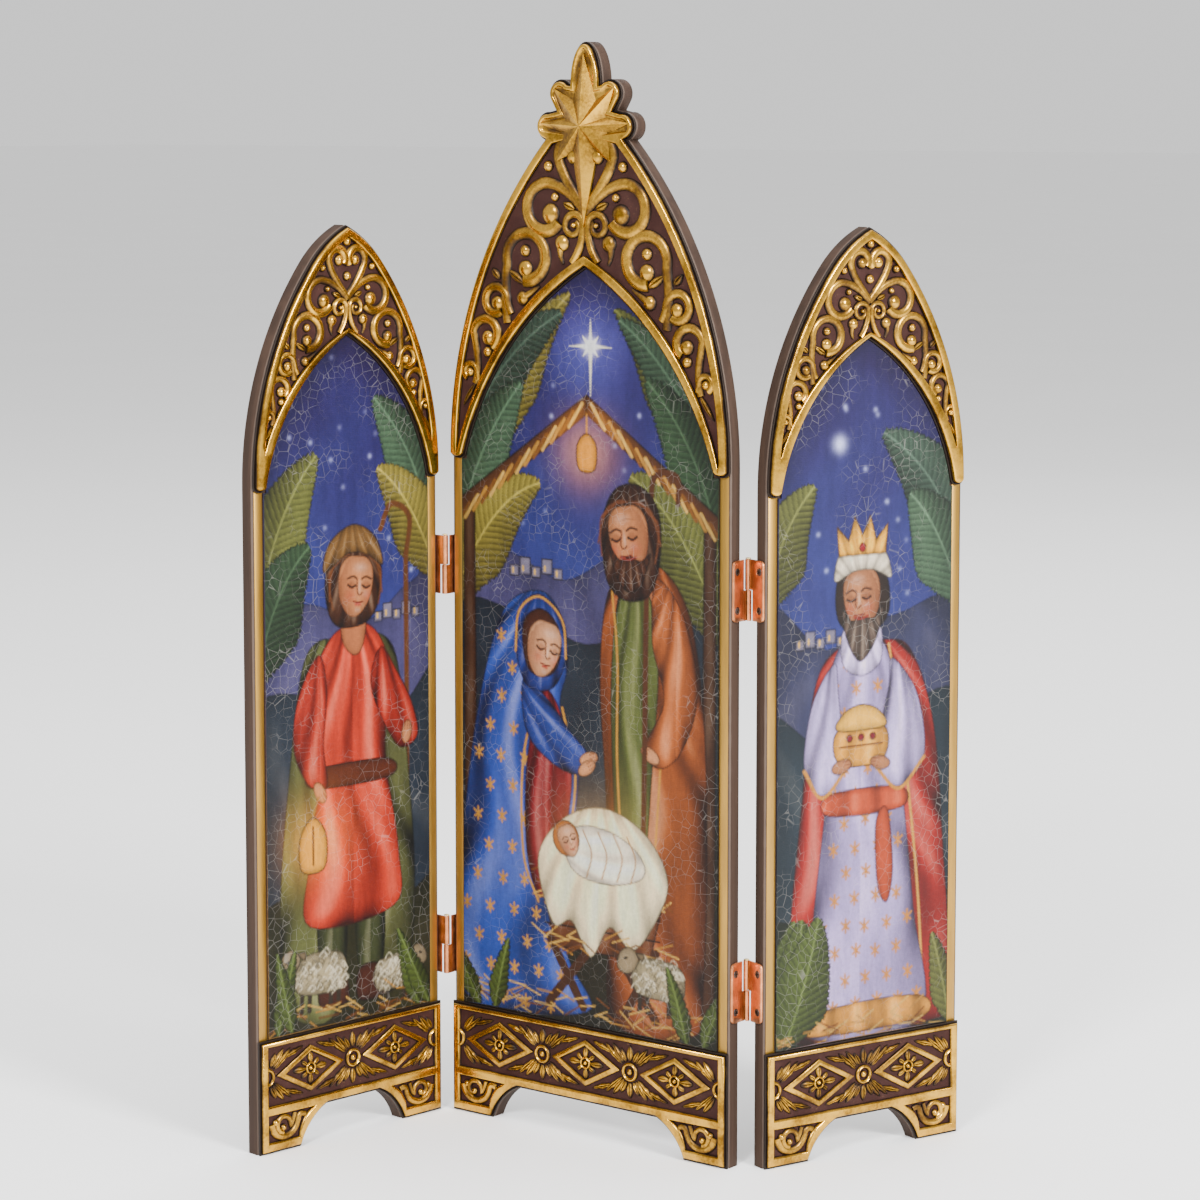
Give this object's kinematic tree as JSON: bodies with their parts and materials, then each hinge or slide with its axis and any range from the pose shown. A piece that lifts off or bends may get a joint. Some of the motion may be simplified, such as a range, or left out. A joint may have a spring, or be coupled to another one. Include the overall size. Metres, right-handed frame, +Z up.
{
  "type": "folding screen",
  "caption": "Folding tabletop screen of arched boards with gilded openwork-style crests, painted nativity pictures and bracket feet, hinged to fold flat in a zigzag",
  "frame": {"origin": "middle of the standing screen's floor rectangle, on the floor", "axes": "+Z up; the centre panel is parallel to X and faces -Y; +X is on the right of someone facing it"},
  "size_m": [0.218, 0.2096, 0.4585],
  "materials": {
    "board": "dark umber stain with a paler bevel",
    "casting": "antique gold leaf with a brown wash in the recesses",
    "picture": "printed night scene on a canvas-textured sheet",
    "hinge": "copper plated",
    "pin": "plain brass",
    "screw": "dark gunmetal"
  },
  "bodies": {
    "centre": {"centre_base": "casting", "centre_board": "board", "centre_crest": "casting", "centre_picture": "picture", "left_lower_hinge_centre_bottom_screw": "screw", "left_lower_hinge_centre_leaf": "hinge", "left_lower_hinge_centre_top_screw": "screw", "left_lower_hinge_pin": "pin", "left_upper_hinge_centre_bottom_screw": "screw", "left_upper_hinge_centre_leaf": "hinge", "left_upper_hinge_centre_top_screw": "screw", "left_upper_hinge_pin": "pin", "right_lower_hinge_centre_bottom_screw": "screw", "right_lower_hinge_centre_leaf": "hinge", "right_lower_hinge_centre_top_screw": "screw", "right_lower_hinge_pin": "pin", "right_upper_hinge_centre_bottom_screw": "screw", "right_upper_hinge_centre_leaf": "hinge", "right_upper_hinge_centre_top_screw": "screw", "right_upper_hinge_pin": "pin"},
    "left_wing": {"left_base": "casting", "left_board": "board", "left_crest": "casting", "left_lower_hinge_left_bottom_screw": "screw", "left_lower_hinge_left_leaf": "hinge", "left_lower_hinge_left_top_screw": "screw", "left_picture": "picture", "left_upper_hinge_left_bottom_screw": "screw", "left_upper_hinge_left_leaf": "hinge", "left_upper_hinge_left_top_screw": "screw"},
    "right_wing": {"right_base": "casting", "right_board": "board", "right_crest": "casting", "right_lower_hinge_right_bottom_screw": "screw", "right_lower_hinge_right_leaf": "hinge", "right_lower_hinge_right_top_screw": "screw", "right_picture": "picture", "right_upper_hinge_right_bottom_screw": "screw", "right_upper_hinge_right_leaf": "hinge", "right_upper_hinge_right_top_screw": "screw"}
  },
  "joints": [
    {"name": "left_wing_fold", "type": "hinge", "parent": "centre", "child": "left_wing", "pos_m": [-0.08489, -0.00406, 0.0728], "axis": [0, 0, 1], "range_deg": [-82, 98]},
    {"name": "right_wing_fold", "type": "hinge", "parent": "centre", "child": "right_wing", "pos_m": [0.06371, 0.00944, 0.0728], "axis": [0, 0, 1], "range_deg": [-71, 109]}
  ]
}
